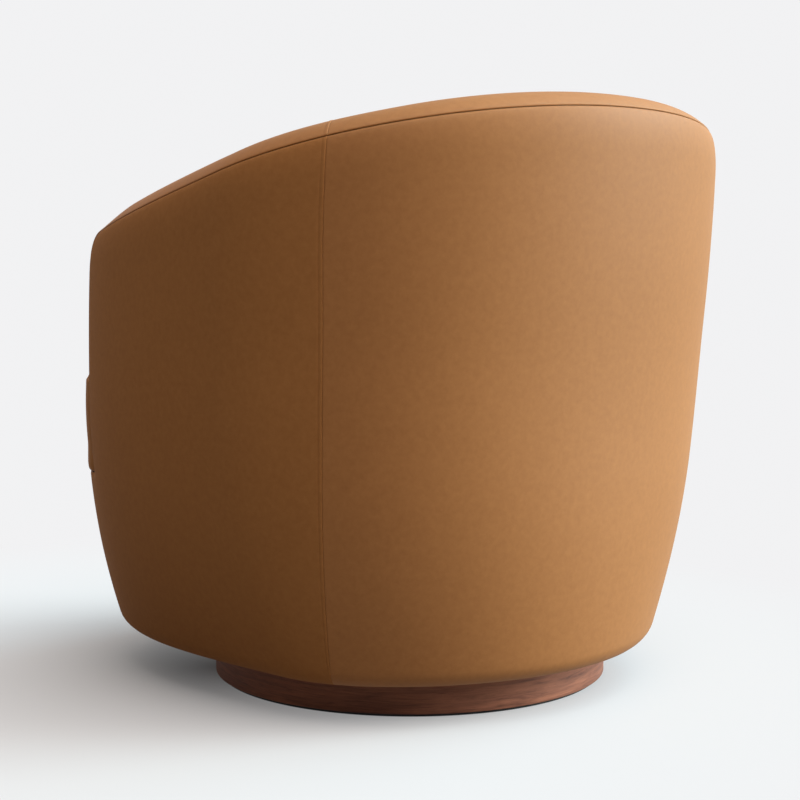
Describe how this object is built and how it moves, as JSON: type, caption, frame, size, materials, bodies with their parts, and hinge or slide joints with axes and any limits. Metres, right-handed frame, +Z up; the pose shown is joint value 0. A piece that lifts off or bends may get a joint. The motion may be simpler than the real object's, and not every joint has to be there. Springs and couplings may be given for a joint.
{
  "type": "swivel accent chair",
  "caption": "Barrel-shaped leather lounge chair with sloping arms and a loose seat cushion, turning on a round walnut plinth with a ball-bearing swivel.",
  "frame": {"origin": "on the floor under the swivel's axis, at the middle of the felt ring's underside", "axes": "+Z up along the swivel's axis; -Y is where the sitter faces and +Y the back; +X is to the sitter's left"},
  "size_m": [0.7738, 0.8123, 0.7253],
  "materials": {
    "tan_leather": "satin tan leather with a fine pebbled grain",
    "walnut": "oiled walnut with the grain running round the ring",
    "plywood": "raw birch plywood",
    "fibreboard": "raw flexible board",
    "wadding": "white polyester wadding",
    "foam": "cream foam",
    "felt": "dense dark felt",
    "black_cloth": "plain black cloth",
    "webbing": "woven jute webbing",
    "zinc_steel": "zinc plated",
    "ball_steel": "polished bearing steel",
    "cage_brass": "stamped sheet",
    "nylon": "natural nylon"
  },
  "bodies": {
    "base": {"felt_ring": "felt", "plinth_ring": "walnut", "plinth_core": "plywood", "lower_race": "zinc_steel", "race_screws": "zinc_steel", "pivot_bolt": "zinc_steel", "pivot_washer": "zinc_steel", "pivot_nut": "zinc_steel"},
    "cage": {"ball_cage": "cage_brass", "bearing_balls": "ball_steel"},
    "seat": {"upper_race": "zinc_steel", "race_bolts": "zinc_steel", "tee_nuts": "zinc_steel", "pivot_bush": "nylon", "base_board": "plywood", "dust_cover": "black_cloth", "back_ribs": "plywood", "left_arm_ribs": "plywood", "right_arm_ribs": "plywood", "top_rail": "plywood", "seat_ring": "plywood", "ring_cleats": "plywood", "apron_board": "plywood", "seat_springs": "zinc_steel", "spring_clips": "zinc_steel", "deck_felt": "felt", "deck_foam": "foam", "deck_cloth": "black_cloth", "outer_board": "fibreboard", "outer_wadding": "wadding", "apron_wadding": "wadding", "webbing": "webbing", "inner_liner": "black_cloth", "inner_foam": "foam", "top_roll": "foam", "outer_leather_back": "tan_leather", "outer_leather_left": "tan_leather", "outer_leather_right": "tan_leather", "apron_leather": "tan_leather", "inner_leather_back": "tan_leather", "inner_leather_left": "tan_leather", "inner_leather_right": "tan_leather", "top_band_back": "tan_leather", "top_band_left": "tan_leather", "top_band_right": "tan_leather", "cushion_core": "foam", "cushion_top": "tan_leather", "cushion_boxing": "tan_leather", "cushion_bottom": "black_cloth"}
  },
  "joints": [
    {"name": "seat_swivel", "type": "hinge", "parent": "base", "child": "seat", "pos_m": [0, 0, 0], "axis": [0, 0, 1], "continuous": true},
    {"name": "ball_cage_turn", "type": "hinge", "parent": "base", "child": "cage", "pos_m": [0, 0, 0], "axis": [0, 0, 1], "continuous": true}
  ],
  "couplings": [
    {"joint": "ball_cage_turn", "follows": "seat_swivel", "ratio": 0.5}
  ]
}
